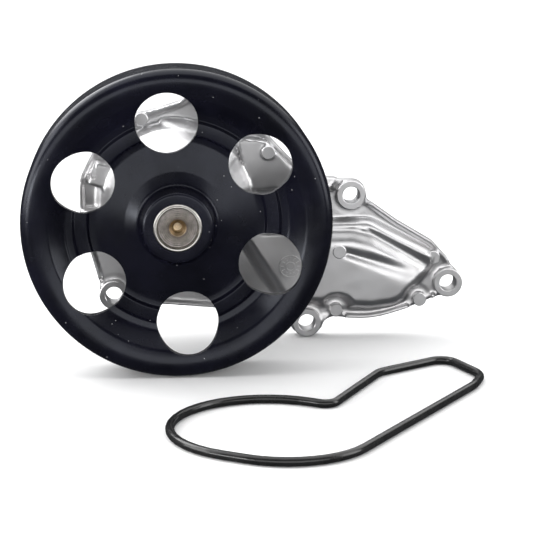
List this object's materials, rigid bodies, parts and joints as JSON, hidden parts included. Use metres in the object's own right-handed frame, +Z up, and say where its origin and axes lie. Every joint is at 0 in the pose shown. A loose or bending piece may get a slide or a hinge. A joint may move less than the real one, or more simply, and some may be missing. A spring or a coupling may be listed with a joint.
{
  "type": "engine coolant pump",
  "caption": "Belt-driven engine coolant pump with a holed steel pulley on an integral shaft bearing, a cast cover, a mechanical seal, an impeller and a loose moulded gasket.",
  "frame": {"origin": "on the shaft axis, in the middle of the pulley's belt face", "axes": "+Y runs along the shaft from the pulley to the engine, +Z is up as the pump stands on its rim and foot boss, and +X is to the right seen from the pulley"},
  "size_m": [0.1788, 0.1997, 0.118],
  "materials": {
    "cast_aluminium": "die-cast, bright, lightly satin",
    "black_paint": "gloss black coating on pressed steel",
    "turned_steel": "turned, lightly tarnished",
    "bearing_steel": "ground",
    "cage_plastic": "natural nylon",
    "black_rubber": "moulded",
    "stamped_steel": "plated sheet",
    "carbon": "lapped carbon",
    "silicon_carbide": "lapped ceramic"
  },
  "bodies": {
    "cover": {"cover_housing": "cast_aluminium", "bearing_outer_ring": "bearing_steel", "front_bearing_seal": "black_rubber", "rear_bearing_seal": "black_rubber", "seal_case": "stamped_steel", "seal_bellows": "black_rubber", "seal_spring": "stamped_steel", "seal_carbon_ring": "carbon"},
    "rotor": {"pulley": "black_paint", "pulley_hub": "turned_steel", "bearing_shaft": "turned_steel", "slinger_ring": "stamped_steel", "seal_sleeve": "stamped_steel", "seat_rubber_cup": "black_rubber", "seal_mating_ring": "silicon_carbide", "impeller": "stamped_steel"},
    "rolling_rows": {"front_ball_row": "bearing_steel", "front_ball_cage": "cage_plastic", "rear_ball_row": "bearing_steel", "rear_ball_cage": "cage_plastic"},
    "gasket": {"cover_gasket": "black_rubber"}
  },
  "joints": [
    {"name": "shaft_spin", "type": "hinge", "parent": "cover", "child": "rotor", "pos_m": [0, 0, 0], "axis": [0, -1, 0], "continuous": true},
    {"name": "rolling_rows_spin", "type": "hinge", "parent": "cover", "child": "rolling_rows", "pos_m": [0, 0, 0], "axis": [0, -1, 0], "continuous": true},
    {"name": "gasket_lift", "type": "slide", "parent": "cover", "child": "gasket", "axis": [0, 0, 1], "range_m": [0, 0.15]}
  ],
  "couplings": [
    {"joint": "rolling_rows_spin", "follows": "shaft_spin", "ratio": 0.3785}
  ]
}
